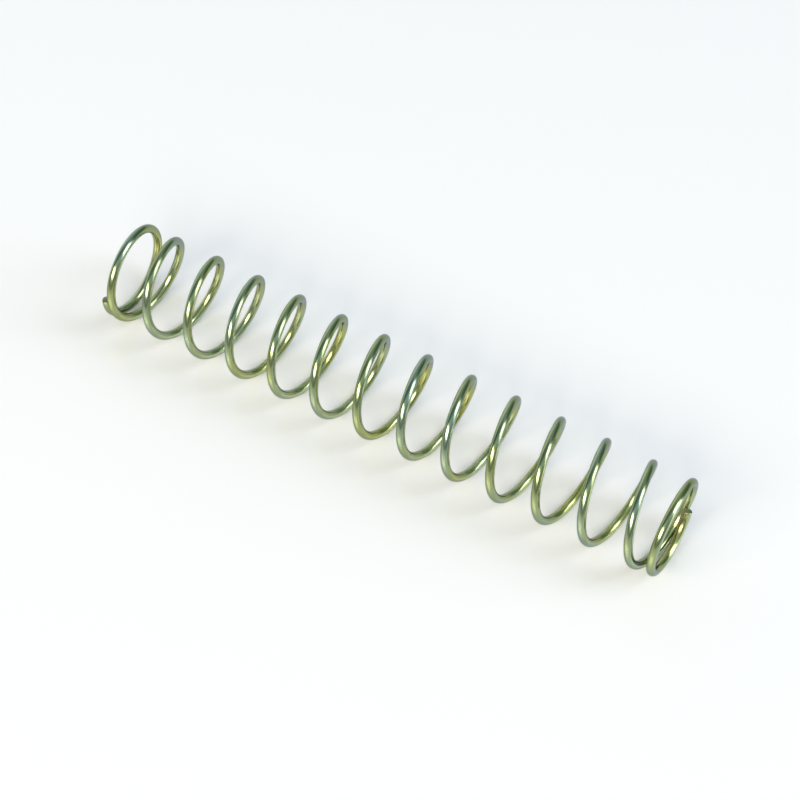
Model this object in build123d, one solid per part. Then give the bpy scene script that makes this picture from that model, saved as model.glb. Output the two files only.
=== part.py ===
from build123d import *
import math
import os
from dataclasses import dataclass

# Small round-wire compression spring, closed ends, not ground, coiled right-handed.
# It lies on its side: +X runs along the coil from the first end to the second,
# +Z is up, and the origin is on the floor under the middle of the coil.

# Driving dimensions, in millimetres, turns and degrees.
WIRE_DIAMETER = 0.85
MEAN_COIL_DIAMETER = 9.0
FREE_LENGTH = 60.0
TOTAL_TURNS = 14.43
FIRST_TIP_ANGLE = 89.5      # where the first tip lies, turned from the top of the coil towards -Y
STRAND_CLEARANCE = 0.02     # gap left between a tip and the turn that it closes against


@dataclass(frozen=True)
class CoilEnd:
    """How the wire closes at one end of the spring.

    The pitch opens evenly over opening_turns, from flat to the working pitch. The tip touches the
    next turn at lean_angle inwards from straight beside it, and it eases out to the full coil
    radius over tuck_turns.
    """

    opening_turns: float
    lean_angle: float
    tuck_turns: float

    def step(self) -> float:
        """Distance along the spring from the tip to the turn that it closes against."""
        return (WIRE_DIAMETER + STRAND_CLEARANCE) * math.cos(math.radians(self.lean_angle))

    def tuck(self) -> float:
        """How far the tip lies inside the coil radius."""
        return (WIRE_DIAMETER + STRAND_CLEARANCE) * math.sin(math.radians(self.lean_angle))

    def flat_turns(self, pitch: float) -> float:
        """Turns before the pitch starts to open, so that one whole turn rises by the step."""
        return 1 - math.sqrt(2 * self.step() * self.opening_turns / pitch)

    def rise(self, turns: float, pitch: float) -> float:
        """Distance along the spring from the tip to a point that many turns from it."""
        past_flat = max(0.0, turns - self.flat_turns(pitch))
        opening = min(past_flat, self.opening_turns)
        return pitch * (opening ** 2 / (2 * self.opening_turns) + past_flat - opening)

    def inset(self, turns: float) -> float:
        """How far inside the coil radius the wire lies, that many turns from the tip."""
        return self.tuck() * max(0.0, 1 - turns / self.tuck_turns) ** 2


FIRST_END = CoilEnd(opening_turns=1.1, lean_angle=15.0, tuck_turns=0.3)
SECOND_END = CoilEnd(opening_turns=0.6, lean_angle=57.0, tuck_turns=0.6)

# Sizes that follow from them.
coil_radius = MEAN_COIL_DIAMETER / 2
outer_radius = coil_radius + WIRE_DIAMETER / 2
tip_to_tip = FREE_LENGTH - WIRE_DIAMETER


def working_pitch() -> float:
    """Pitch of the open turns, solved so that the two tips stand tip_to_tip apart.

    Each closed end takes up 1 + opening / 2 turns of working pitch, less a share that grows with
    the root of the pitch, so the length is a quadratic in that root.
    """
    ends = (FIRST_END, SECOND_END)
    open_turns = TOTAL_TURNS - sum(1 + end.opening_turns / 2 for end in ends)
    end_share = sum(math.sqrt(2 * end.step() * end.opening_turns) for end in ends)
    root = (math.sqrt(end_share ** 2 + 4 * open_turns * tip_to_tip) - end_share) / (2 * open_turns)
    return root ** 2


def centre_line_point(turns: float, pitch: float) -> Vector:
    """Point of the wire's centre line, that many turns from the first tip."""
    left = TOTAL_TURNS - turns
    if turns < left:
        along = FIRST_END.rise(turns, pitch)
    else:
        along = tip_to_tip - SECOND_END.rise(left, pitch)
    radius = coil_radius - FIRST_END.inset(turns) - SECOND_END.inset(left)
    angle = math.radians(FIRST_TIP_ANGLE + 360 * turns)
    return Vector(
        along - tip_to_tip / 2,
        -radius * math.sin(angle),
        radius * math.cos(angle) + outer_radius,
    )


def laid_turns() -> list[float]:
    """Places that the centre line is laid through, in turns from the first tip.

    They are close together beside each tip, where the wire is tucked in, and further apart between.
    """
    beside_tip = [i / 20 for i in range(8)]
    first, last = 0.4, TOTAL_TURNS - 0.4
    spans = math.ceil(8 * (last - first))
    between = [first + (last - first) * i / spans for i in range(spans + 1)]
    return beside_tip + between + [TOTAL_TURNS - turns for turns in reversed(beside_tip)]


def coiled_wire() -> Part:
    """Sweep the round wire along its centre line, from one square cut face to the other."""
    pitch = working_pitch()
    centre_line = Spline(*[centre_line_point(turns, pitch) for turns in laid_turns()])
    section = Plane(origin=centre_line @ 0, z_dir=centre_line % 0) * Circle(WIRE_DIAMETER / 2)
    return sweep(section, path=centre_line, is_frenet=True)


os.makedirs("parts", exist_ok=True)
spring = coiled_wire()
spring.label = "spring_wire"
export_step(spring, "parts/spring_wire.step")
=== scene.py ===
"""A small compression spring of plated round wire, lying on a pale table in a small studio.

The wire starts as a straight bar, is wound to the coil's centre line, and is laid on its side:
+X runs along the coil, +Z is up, and the origin is on the table under the middle of the coil.
"""
import logging
import math
import sys
from collections.abc import Callable
from dataclasses import dataclass
from enum import Enum

import bpy
from mathutils import Matrix, Vector

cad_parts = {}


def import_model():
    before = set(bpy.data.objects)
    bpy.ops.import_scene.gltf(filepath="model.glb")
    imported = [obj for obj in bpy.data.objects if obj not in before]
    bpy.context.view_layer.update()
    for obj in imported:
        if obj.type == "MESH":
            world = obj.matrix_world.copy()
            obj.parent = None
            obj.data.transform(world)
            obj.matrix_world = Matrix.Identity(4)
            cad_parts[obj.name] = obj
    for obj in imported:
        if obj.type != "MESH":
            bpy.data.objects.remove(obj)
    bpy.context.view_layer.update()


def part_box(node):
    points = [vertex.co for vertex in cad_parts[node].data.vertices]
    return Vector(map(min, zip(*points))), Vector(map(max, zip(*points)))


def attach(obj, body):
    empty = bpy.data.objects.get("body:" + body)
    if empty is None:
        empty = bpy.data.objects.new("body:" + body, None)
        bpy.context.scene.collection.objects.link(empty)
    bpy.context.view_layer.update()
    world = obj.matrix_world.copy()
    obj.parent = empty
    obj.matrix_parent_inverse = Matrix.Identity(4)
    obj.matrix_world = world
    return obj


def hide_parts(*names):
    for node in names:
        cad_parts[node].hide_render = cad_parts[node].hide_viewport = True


log = logging.getLogger("spring")

MM = 0.001                  # a millimetre, in the scene's metres
SAME_PLACE = 1e-7           # what counts as no distance between two points
NOISE_REACH = (0.3, 0.7)    # where nearly all the values of a noise lie

Span = tuple[float, float]
Triple = tuple[float, float, float]
Tone = Triple
Socket = bpy.types.NodeSocket


class Side(Enum):
    """Which finish a face of the wire takes, as the number of its material slot."""

    DRAWN = 0
    SHEARED = 1


class NodeTree:
    """A short way to build the nodes of a material or a world."""

    def __init__(self, tree: bpy.types.NodeTree) -> None:
        """Starts from an empty tree.

        Args:
            tree: the node tree of a material or a world.
        """
        self.tree = tree
        tree.nodes.clear()

    def add(
        self, kind: str, settings: dict[str, str] | None = None, **sockets: object
    ) -> bpy.types.Node:
        """Adds a node, with its settings and its inputs.

        Args:
            kind: the node's type, without the leading ShaderNode.
            settings: properties of the node itself.
            sockets: values or links for the inputs, by name with _ for a space, or i0, i1 by place.

        Returns:
            The new node.
        """
        node = self.tree.nodes.new("ShaderNode" + kind)
        for name, value in (settings or {}).items():
            setattr(node, name, value)
        for name, value in sockets.items():
            is_place = name[0] == "i" and name[1:].isdigit()
            socket = node.inputs[int(name[1:]) if is_place else name.replace("_", " ")]
            if isinstance(value, Socket):
                self.tree.links.new(value, socket)
            else:
                socket.default_value = value
        return node

    def ramp(self, factor: Socket, reach: Span, first: Tone, second: Tone) -> Socket:
        """Adds a ramp from one tone to another.

        Args:
            factor: what the ramp reads.
            reach: the two values of the factor that give the first tone and the second.
            first: the tone at the start of the reach.
            second: the tone at its end.

        Returns:
            The ramp's colour.
        """
        node = self.add("ValToRGB", i0=factor)
        for element, place, tone in zip(node.color_ramp.elements, reach, (first, second)):
            element.position = place
            element.color = (*tone, 1.0)
        return node.outputs[0]

    def mix(self, factor: Socket, first: object, second: object) -> Socket:
        """Mixes two colours.

        Args:
            factor: 0 for the first colour and 1 for the second.
            first: a colour's socket, or its red, green, blue and alpha.
            second: the same for the other colour.

        Returns:
            The mixed colour.
        """
        node = self.add("Mix", {"data_type": "RGBA"}, i0=factor, i6=first, i7=second)
        return node.outputs[2]

    def multiply(self, first: Socket, second: Socket) -> Socket:
        """Multiplies two colours part by part; two plain values count as greys."""
        return self.add("VectorMath", {"operation": "MULTIPLY"}, i0=first, i1=second).outputs[0]

    def noise(self, place: Socket, sizes: Triple, detail: float) -> Socket:
        """Adds clouds or streaks of noise.

        Args:
            place: the coordinates that the noise follows.
            sizes: how long its clouds are each way.
            detail: how many finer layers they have.

        Returns:
            The noise, from 0 to 1.
        """
        scale = tuple(1.0 / size for size in sizes)
        scaled = self.add("Mapping", i0=place, Scale=scale).outputs[0]
        return self.add("TexNoise", Vector=scaled, Scale=1.0, Detail=detail).outputs[0]

    def span(self, value: Socket, reach: Span, result: Span = (0.0, 1.0)) -> Socket:
        """Maps a value smoothly from one span to another, and holds it at the ends.

        Args:
            value: what is mapped.
            reach: the two values that give the two ends of the result.
            result: what the value is mapped to.

        Returns:
            The mapped value.
        """
        smooth = {"interpolation_type": "SMOOTHSTEP"}
        node = self.add(
            "MapRange", smooth, i0=value, i1=reach[0], i2=reach[1], i3=result[0], i4=result[1]
        )
        return node.outputs[0]


@dataclass(frozen=True)
class PlatedFinish:
    """Bright drawn wire under a thin yellow-green passivated plating.

    The plating is darker and greener on the outside of the coil and paler and yellower inside it.
    That split is partly the plating's own tone and partly painted light: a painted warm glow of
    light bounced inside the coil, and a painted cool cast of the reflections outside it. Along the
    wire it clouds between a thinner, bluer coat and a thicker, yellower one. Towards the second tip
    it browns, on the side that closes against the next turn: browned_side says where that side
    starts and is whole, in wire radii across the wire. Fine lines run along it from the drawing.
    """

    # outside and inside hold the plating's tone plus painted light: the inside's paler, yellower
    # tone paints the warm glow of light bounced inside the coil, the outside's greener tone a
    # painted cool cast.
    outside: Tone = (0.342, 0.405, 0.226)
    inside: Tone = (0.465, 0.495, 0.24)
    thin_coat: Tone = (0.95, 1.0, 1.20)
    thick_coat: Tone = (1.05, 1.0, 0.74)
    cloud_sizes: Triple = (9.0 * MM, 1.7 * MM, 1.7 * MM)
    coat_reach: Span = (0.34, 0.66)
    browned: Tone = (0.30, 0.21, 0.09)
    browned_length: float = 9.0 * MM
    browned_fully: float = 1.0 * MM
    browned_strength: float = 0.75
    browned_side: Span = (0.4, -0.7)
    grazing: Tone = (0.54, 0.57, 0.68)
    roughness: Span = (0.14, 0.22)
    line_sizes: Triple = (14.0 * MM, 0.11 * MM, 0.11 * MM)
    line_depth: float = 0.0009 * MM

    def material(self, wire_length: float, wire_radius: float) -> bpy.types.Material:
        """Makes the finish of the wire's drawn surface.

        Args:
            wire_length: the length of the wire along its centre line.
            wire_radius: the wire's own radius.

        Returns:
            The material.
        """
        material = bpy.data.materials.new("plated_wire")
        material.use_nodes = True
        nodes = NodeTree(material.node_tree)
        straight = nodes.add("Attribute", {"attribute_name": "straight"}).outputs["Vector"]
        along, inwards, sideways = nodes.add("SeparateXYZ", i0=straight).outputs

        # Painted glow: the side of the wire facing into the coil takes the paler, yellower inside
        # tone, which stands in for warm light bounced inside the coil.
        painted_glow_side = nodes.span(inwards, (-wire_radius, wire_radius))
        colour = nodes.mix(painted_glow_side, (*self.outside, 1.0), (*self.inside, 1.0))
        coat = nodes.span(nodes.noise(straight, self.cloud_sizes, detail=3.0), self.coat_reach)
        tint = nodes.mix(coat, (*self.thin_coat, 1.0), (*self.thick_coat, 1.0))
        colour = nodes.multiply(colour, tint)

        seam_reach = tuple(share * wire_radius for share in self.browned_side)
        seam = nodes.span(sideways, seam_reach)
        start, full = wire_length - self.browned_length, wire_length - self.browned_fully
        ending = nodes.span(along, (start, full), (0.0, self.browned_strength))
        colour = nodes.mix(nodes.multiply(seam, ending), colour, (*self.browned, 1.0))

        lines = nodes.noise(straight, self.line_sizes, detail=4.0)
        roughness = nodes.span(lines, NOISE_REACH, self.roughness)
        bump = nodes.add("Bump", Height=lines, Strength=1.0, Distance=self.line_depth).outputs[0]
        shader = nodes.add(
            "BsdfPrincipled",
            Base_Color=colour,
            Metallic=1.0,
            Roughness=roughness,
            Normal=bump,
            Specular_Tint=(*self.grazing, 1.0),
        )
        nodes.add("OutputMaterial", Surface=shader.outputs[0])
        return material


@dataclass(frozen=True)
class ShearedFinish:
    """The cut faces of the wire, sheared before plating, so that they are duller and streaked."""

    plating: Tone = (0.26, 0.29, 0.18)
    worn: Tone = (0.34, 0.33, 0.20)
    worn_reach: Span = (0.35, 0.7)
    roughness: Span = (0.28, 0.5)
    streak_sizes: Triple = (1.1 * MM, 0.67 * MM, 0.07 * MM)
    streak_depth: float = 0.004 * MM

    def material(self) -> bpy.types.Material:
        """Makes the finish of the cut faces.

        Returns:
            The material.
        """
        material = bpy.data.materials.new("sheared_wire")
        material.use_nodes = True
        nodes = NodeTree(material.node_tree)
        straight = nodes.add("Attribute", {"attribute_name": "straight"}).outputs["Vector"]
        streaks = nodes.noise(straight, self.streak_sizes, detail=3.0)
        colour = nodes.ramp(streaks, self.worn_reach, self.plating, self.worn)
        roughness = nodes.span(streaks, NOISE_REACH, self.roughness)
        depth = self.streak_depth
        bump = nodes.add("Bump", Height=streaks, Strength=1.0, Distance=depth).outputs[0]
        shader = nodes.add(
            "BsdfPrincipled", Base_Color=colour, Metallic=1.0, Roughness=roughness, Normal=bump
        )
        nodes.add("OutputMaterial", Surface=shader.outputs[0])
        return material


@dataclass(frozen=True)
class CoilEnd:
    """How the wire closes at one end of the spring.

    From its tip the wire lies flat, square to the coil, until the pitch starts to open. The pitch
    then grows evenly, over opening_turns, to the working pitch. The tip touches the turn that comes
    round beside it, at lean_angle inwards from straight beside it, and the wire eases out from that
    tucked place to the full radius of the coil over tuck_turns.
    """

    opening_turns: float
    lean_angle: float
    tuck_turns: float

    def step(self, touch: float) -> float:
        """Distance along the coil between the tip and the turn that it touches."""
        return touch * math.cos(math.radians(self.lean_angle))

    def flat_turns(self, touch: float, pitch: float) -> float:
        """Turns of wire before the pitch starts to open, so that the tip touches the next turn.

        Args:
            touch: distance between the centre lines of two strands that touch.
            pitch: working pitch of the coil.

        Returns:
            The flat turns.
        """
        return 1 - math.sqrt(2 * self.step(touch) * self.opening_turns / pitch)

    def rise(self, turns: float, touch: float, pitch: float) -> float:
        """How far the wire has moved along the coil.

        Args:
            turns: turns from the tip.
            touch: distance between the centre lines of two strands that touch.
            pitch: working pitch of the coil.

        Returns:
            The distance along the coil's axis from the tip.
        """
        past_flat = max(0.0, turns - self.flat_turns(touch, pitch))
        opening = min(past_flat, self.opening_turns)
        return pitch * (opening**2 / (2 * self.opening_turns) + past_flat - opening)

    def inset(self, turns: float, touch: float) -> float:
        """How far the wire lies inside the coil's full radius.

        Args:
            turns: turns from the tip.
            touch: distance between the centre lines of two strands that touch.

        Returns:
            The distance towards the coil's axis.
        """
        tuck = touch * math.sin(math.radians(self.lean_angle))
        return tuck * max(0.0, 1 - turns / self.tuck_turns) ** 2


@dataclass(frozen=True)
class CoiledCentreLine:
    """The line that the middle of the wire follows, for a coil that stands upright on +Z."""

    length: float
    outer_diameter: float
    wire_diameter: float = 0.85 * MM
    clearance: float = 0.02 * MM
    turns: float = 14.43
    first_tip_angle: float = 89.5
    first_end: CoilEnd = CoilEnd(opening_turns=1.1, lean_angle=15.0, tuck_turns=0.3)
    second_end: CoilEnd = CoilEnd(opening_turns=0.6, lean_angle=57.0, tuck_turns=0.6)
    points_a_turn: int = 96

    @property
    def touch(self) -> float:
        """Distance between the centre lines of two strands that touch."""
        return self.wire_diameter + self.clearance

    @property
    def tip_to_tip(self) -> float:
        """Distance along the coil between the two tips' centres."""
        return self.length - self.wire_diameter

    @property
    def radius(self) -> float:
        """Radius of the coil, to the middle of the wire."""
        return (self.outer_diameter - self.wire_diameter) / 2

    def pitch(self) -> float:
        """Finds the working pitch that brings the tips to their distance apart.

        Each closed end takes up 1 + opening / 2 turns of it, less a share that grows with the root
        of the pitch, so the length is a quadratic in that root.

        Returns:
            The pitch.
        """
        open_turns, root_share = self.turns, 0.0
        for end in (self.first_end, self.second_end):
            open_turns -= 1 + end.opening_turns / 2
            root_share += math.sqrt(2 * end.step(self.touch) * end.opening_turns)
        root = (
            math.sqrt(root_share**2 + 4 * open_turns * self.tip_to_tip) - root_share
        ) / (2 * open_turns)
        return root**2

    def point(self, turns: float) -> Vector:
        """A point of the centre line.

        Args:
            turns: turns from the first tip.

        Returns:
            The point, with the first tip at the foot of the upright coil.
        """
        pitch, left = self.pitch(), self.turns - turns
        if turns < left:
            along = self.first_end.rise(turns, self.touch, pitch)
        else:
            along = self.tip_to_tip - self.second_end.rise(left, self.touch, pitch)
        inset = self.first_end.inset(turns, self.touch) + self.second_end.inset(left, self.touch)
        angle = math.radians(self.first_tip_angle + 360.0 * turns)
        radius = self.radius - inset
        return Vector((radius * math.cos(angle), radius * math.sin(angle), along))

    def points(self) -> list[Vector]:
        """Evenly laid points from the first tip to the second."""
        spans = math.ceil(self.turns * self.points_a_turn)
        return [self.point(self.turns * place / spans) for place in range(spans + 1)]

    def wire_length(self) -> float:
        """Length of the wire along its centre line."""
        laid = self.points()
        return sum((after - before).length for before, after in zip(laid, laid[1:]))

    def arbor(self) -> bpy.types.Object:
        """Makes the upright curve that the straight bar is wound along.

        Returns:
            The curve's object.
        """
        laid = self.points()
        curve = bpy.data.curves.new("winding_line", "CURVE")
        curve.dimensions = "3D"
        curve.twist_mode = "Z_UP"
        curve.use_stretch = True
        curve.use_deform_bounds = True
        line = curve.splines.new("POLY")
        line.points.add(len(laid) - 1)
        for point, place in zip(line.points, laid):
            point.co = (*place, 1.0)
        arbor = bpy.data.objects.new("winding_line", curve)
        bpy.context.scene.collection.objects.link(arbor)
        return arbor


@dataclass
class SpringWire:
    """The whole spring: one length of round wire, sheared at both ends, wound and laid down.

    The wire follows line, and the coil lies with its middle at middle.
    """

    line: CoiledCentreLine
    middle: Vector
    sides: int = 32
    rings_a_turn: int = 96
    worn_edge: float = 0.06 * MM
    worn_segments: int = 3
    smooth_angle: float = 40.0
    drawn_finish: PlatedFinish = PlatedFinish()
    sheared_finish: ShearedFinish = ShearedFinish()

    def build(self) -> bpy.types.Object:
        """Makes the whole spring.

        Returns:
            The spring, wound, laid down and dressed.
        """
        wire = self.bar()
        self.keep_straight_places(wire)
        self.wind(wire)
        self.lay_down(wire)
        self.dress(wire)
        return wire

    def bar(self) -> bpy.types.Object:
        """Makes the straight bar along +X, with its cut edges worn round and many rings along it.

        Returns:
            The bar.
        """
        length = self.line.wire_length()
        bpy.ops.object.select_all(action="DESELECT")
        bpy.ops.mesh.primitive_cylinder_add(
            vertices=self.sides,
            radius=self.line.wire_diameter / 2,
            depth=length,
            end_fill_type="NGON",
            location=(length / 2, 0.0, 0.0),
            rotation=(0.0, math.radians(90.0), 0.0),
        )
        wire = bpy.context.object
        wire.name = wire.data.name = "spring_coil"
        bpy.ops.object.transform_apply(location=True, rotation=True, scale=True)

        bpy.ops.object.mode_set(mode="EDIT")
        bpy.ops.mesh.select_mode(type="EDGE")
        self.select_edges(wire, lambda a, b: abs(a.x - b.x) < SAME_PLACE)
        bpy.ops.mesh.bevel(
            offset=self.worn_edge, segments=self.worn_segments, profile=0.5, affect="EDGES"
        )
        # First into one stretch for each turn, and then each stretch into its rings.
        for parts in (math.ceil(self.line.turns), self.rings_a_turn):
            self.select_edges(wire, lambda a, b: abs(a.x - b.x) > self.line.wire_diameter)
            bpy.ops.mesh.subdivide(number_cuts=parts - 1)
        bpy.ops.mesh.select_all(action="SELECT")
        bpy.ops.mesh.normals_make_consistent(inside=False)
        bpy.ops.object.mode_set(mode="OBJECT")
        return wire

    @staticmethod
    def select_edges(piece: bpy.types.Object, wanted: Callable[[Vector, Vector], bool]) -> None:
        """Selects the edges of a piece in edit mode.

        Args:
            piece: the piece in edit mode.
            wanted: says from an edge's two ends whether it is selected.
        """
        bpy.ops.mesh.select_all(action="DESELECT")
        bpy.ops.object.mode_set(mode="OBJECT")
        places = [vertex.co for vertex in piece.data.vertices]
        for edge in piece.data.edges:
            first, second = edge.vertices
            edge.select = wanted(places[first], places[second])
        bpy.ops.object.mode_set(mode="EDIT")

    @staticmethod
    def keep_straight_places(wire: bpy.types.Object) -> None:
        """Keeps each point's place on the straight bar, for finishes that follow the wire.

        Args:
            wire: the straight bar.
        """
        places = [0.0] * (3 * len(wire.data.vertices))
        wire.data.vertices.foreach_get("co", places)
        kept = wire.data.attributes.new("straight", "FLOAT_VECTOR", "POINT")
        kept.data.foreach_set("vector", places)

    def wind(self, wire: bpy.types.Object) -> None:
        """Winds the bar along the upright centre line.

        Args:
            wire: the straight bar.
        """
        arbor = self.line.arbor()
        winding = wire.modifiers.new("winding", "CURVE")
        winding.object = arbor
        winding.deform_axis = "POS_X"
        bpy.context.view_layer.objects.active = wire
        bpy.ops.object.modifier_apply(modifier=winding.name)
        curve = arbor.data
        bpy.data.objects.remove(arbor)
        bpy.data.curves.remove(curve)

    def lay_down(self, wire: bpy.types.Object) -> None:
        """Turns the upright coil onto its side and sets it on the table.

        Args:
            wire: the wound wire.
        """
        turn = Matrix(((0.0, 0.0, 1.0), (0.0, -1.0, 0.0), (1.0, 0.0, 0.0))).to_4x4()
        foot = self.middle - Vector((self.line.tip_to_tip / 2, 0.0, 0.0))
        wire.matrix_world = Matrix.Translation(foot) @ turn
        bpy.ops.object.select_all(action="DESELECT")
        wire.select_set(True)
        bpy.context.view_layer.objects.active = wire
        bpy.ops.object.transform_apply(location=True, rotation=True, scale=True)
        bpy.ops.object.shade_smooth_by_angle(angle=math.radians(self.smooth_angle))

    def dress(self, wire: bpy.types.Object) -> None:
        """Gives the drawn surface and the cut faces their finishes.

        Args:
            wire: the spring.
        """
        length, radius = self.line.wire_length(), self.line.wire_diameter / 2
        wire.data.materials.clear()
        wire.data.materials.append(self.drawn_finish.material(length, radius))
        wire.data.materials.append(self.sheared_finish.material())
        for face in wire.data.polygons:
            is_cut = len(face.vertices) == self.sides
            face.material_index = (Side.SHEARED if is_cut else Side.DRAWN).value


@dataclass(frozen=True)
class TableFinish:
    """A plain pale table top under a soft gloss."""

    tone: Tone = (0.98, 0.93, 0.89)
    roughness: float = 0.25
    gloss_roughness: float = 0.30
    gloss_ior: float = 1.7

    def material(self) -> bpy.types.Material:
        """Makes the finish of the table top.

        Returns:
            The material.
        """
        material = bpy.data.materials.new("pale_table")
        material.use_nodes = True
        nodes = NodeTree(material.node_tree)
        shader = nodes.add(
            "BsdfPrincipled",
            Base_Color=(*self.tone, 1.0),
            Roughness=self.roughness,
            Coat_Weight=1.0,
            Coat_Roughness=self.gloss_roughness,
            Coat_IOR=self.gloss_ior,
        )
        nodes.add("OutputMaterial", Surface=shader.outputs[0])
        return material


@dataclass(frozen=True)
class Softbox:
    """A soft light panel, aimed at the middle of the coil.

    Its bearing is in degrees, its distance and size are in metres, and its brightness is the
    radiance of its face.
    """

    name: str
    azimuth: float
    elevation: float
    distance: float
    width: float
    height: float
    brightness: float
    tone: Tone

    def place(self, target: Vector) -> bpy.types.Object:
        """Puts the panel in its place.

        Args:
            target: the point that it faces.

        Returns:
            The light.
        """
        light = bpy.data.lights.new(self.name, "AREA")
        light.shape = "RECTANGLE"
        light.size, light.size_y = self.width, self.height
        light.energy = self.brightness * math.pi * self.width * self.height
        light.color = self.tone
        panel = bpy.data.objects.new(self.name, light)
        bpy.context.scene.collection.objects.link(panel)
        away = direction(self.azimuth, self.elevation)
        panel.location = target + away * self.distance
        panel.rotation_euler = away.to_track_quat("Z", "Y").to_euler()
        panel.visible_camera = False
        return panel


@dataclass(frozen=True)
class WallTone:
    """A soft-edged patch of the studio's walls or ceiling, with a tone of its own.

    It is whole up to inner degrees from its middle, and gone at outer degrees.
    """

    azimuth: float
    elevation: float
    inner: float
    outer: float
    tone: Tone


@dataclass
class Studio:
    """The table, the panels and the walls round the spring."""

    target: Vector
    table_finish: TableFinish = TableFinish()
    table_size: float = 6.0
    panels: tuple[Softbox, ...] = (
        Softbox("key_panel", -92.0, 37.0, 1.0, 1.04, 0.39, 7.5, (1.0, 0.93, 0.76)),
        Softbox("strip_panel", 22.0, 30.5, 1.0, 0.44, 1.08, 3.7, (0.92, 1.0, 1.20)),
    )
    low_wall: Tone = (0.26, 0.305, 0.31)
    high_wall: Tone = (0.38, 0.45, 0.54)
    wall_rise: Span = (0.12, 0.42)
    walls: tuple[WallTone, ...] = (
        WallTone(-80.0, 70.0, 15.0, 42.0, (0.46, 0.64, 0.78)),
        WallTone(170.0, 84.0, 6.0, 32.0, (0.20, 0.235, 0.25)),
        WallTone(22.0, 46.0, 14.0, 34.0, (0.60, 0.77, 0.95)),
        WallTone(-150.0, 36.0, 12.0, 42.0, (0.05, 0.14, 0.17)),
        WallTone(160.0, -8.0, 12.0, 64.0, (1.10, 1.15, 1.30)),
        WallTone(62.0, 20.0, 16.0, 40.0, (0.11, 0.20, 0.16)),
    )

    def build(self) -> None:
        """Sets up the table, the panels and the walls."""
        self.table()
        for panel in self.panels:
            panel.place(self.target)
        self.surroundings()

    def table(self) -> None:
        """Lays the plain pale table top."""
        bpy.ops.object.select_all(action="DESELECT")
        bpy.ops.mesh.primitive_plane_add(size=self.table_size, location=(0.0, 0.0, 0.0))
        table = bpy.context.object
        table.name = table.data.name = "table_top"
        table.data.materials.append(self.table_finish.material())

    def surroundings(self) -> None:
        """Lights the scene from plain walls, paler high up, and from the patches on them.

        wall_rise holds the heights between which the walls turn pale, as sines of the elevation.
        """
        world = bpy.data.worlds.new("studio_walls")
        bpy.context.scene.world = world
        world.use_nodes = True
        nodes = NodeTree(world.node_tree)
        look = nodes.add("TexCoord").outputs["Generated"]
        height = nodes.add("SeparateXYZ", i0=look).outputs["Z"]
        rise = nodes.span(height, self.wall_rise)
        tone = nodes.mix(rise, (*self.low_wall, 1.0), (*self.high_wall, 1.0))
        for wall in self.walls:
            middle = direction(wall.azimuth, wall.elevation)
            facing = nodes.add("VectorMath", {"operation": "DOT_PRODUCT"}, i0=look, i1=middle)
            outer, inner = (math.cos(math.radians(angle)) for angle in (wall.outer, wall.inner))
            patch = nodes.span(facing.outputs["Value"], (outer, inner))
            tone = nodes.mix(patch, tone, (*wall.tone, 1.0))
        background = nodes.add("Background", Color=tone, Strength=1.0)
        nodes.add("OutputWorld", Surface=background.outputs[0])


@dataclass(frozen=True)
class Viewpoint:
    """Where the spring is seen from.

    aim is the step from the middle of the coil to the point looked at. The lens and the sensor are
    in millimetres.
    """

    azimuth: float = -59.54
    elevation: float = 54.09
    distance: float = 211.02 * MM
    aim: Triple = (0.958 * MM, 0.027 * MM, -0.335 * MM)
    lens: float = 100.85
    sensor: float = 36.0
    clip: Span = (0.01, 20.0)

    def place(self, target: Vector) -> bpy.types.Object:
        """Makes the scene's camera.

        Args:
            target: the middle of the coil.

        Returns:
            The camera.
        """
        view = bpy.data.cameras.new("viewpoint")
        view.sensor_width, view.lens = self.sensor, self.lens
        view.clip_start, view.clip_end = self.clip
        camera = bpy.data.objects.new("viewpoint", view)
        bpy.context.scene.collection.objects.link(camera)
        away = direction(self.azimuth, self.elevation)
        camera.location = target + Vector(self.aim) + away * self.distance
        camera.rotation_euler = away.to_track_quat("Z", "Y").to_euler()
        bpy.context.scene.camera = camera
        return camera


def direction(azimuth: float, elevation: float) -> Vector:
    """The unit vector towards a bearing.

    Args:
        azimuth: degrees from +X towards +Y.
        elevation: degrees above the table.

    Returns:
        The vector.
    """
    turn, lift = math.radians(azimuth), math.radians(elevation)
    level = math.cos(lift)
    return Vector((math.cos(turn) * level, math.sin(turn) * level, math.sin(lift)))


def report(piece: bpy.types.Object) -> None:
    """Logs a finished piece's name, size and count of triangles.

    Args:
        piece: the finished piece.
    """
    triangles = sum(len(face.vertices) - 2 for face in piece.data.polygons)
    size = " x ".join(f"{side / MM:.2f}" for side in piece.dimensions)
    log.info("%s: %s mm, %d triangles", piece.name, size, triangles)


def main() -> None:
    """Builds the spring and its studio, and says how each piece came out."""
    logging.basicConfig(level=logging.INFO, format="%(name)s: %(message)s", stream=sys.stdout)
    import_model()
    low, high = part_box("spring_wire")
    line = CoiledCentreLine(length=high.x - low.x, outer_diameter=high.z - low.z)
    middle = (low + high) / 2
    spring = SpringWire(line, middle).build()
    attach(spring, "root")
    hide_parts("spring_wire")
    report(spring)

    Studio(middle).build()
    Viewpoint().place(middle)
    bpy.context.scene.view_settings.view_transform = "Standard"


if __name__ == "__main__":
    main()
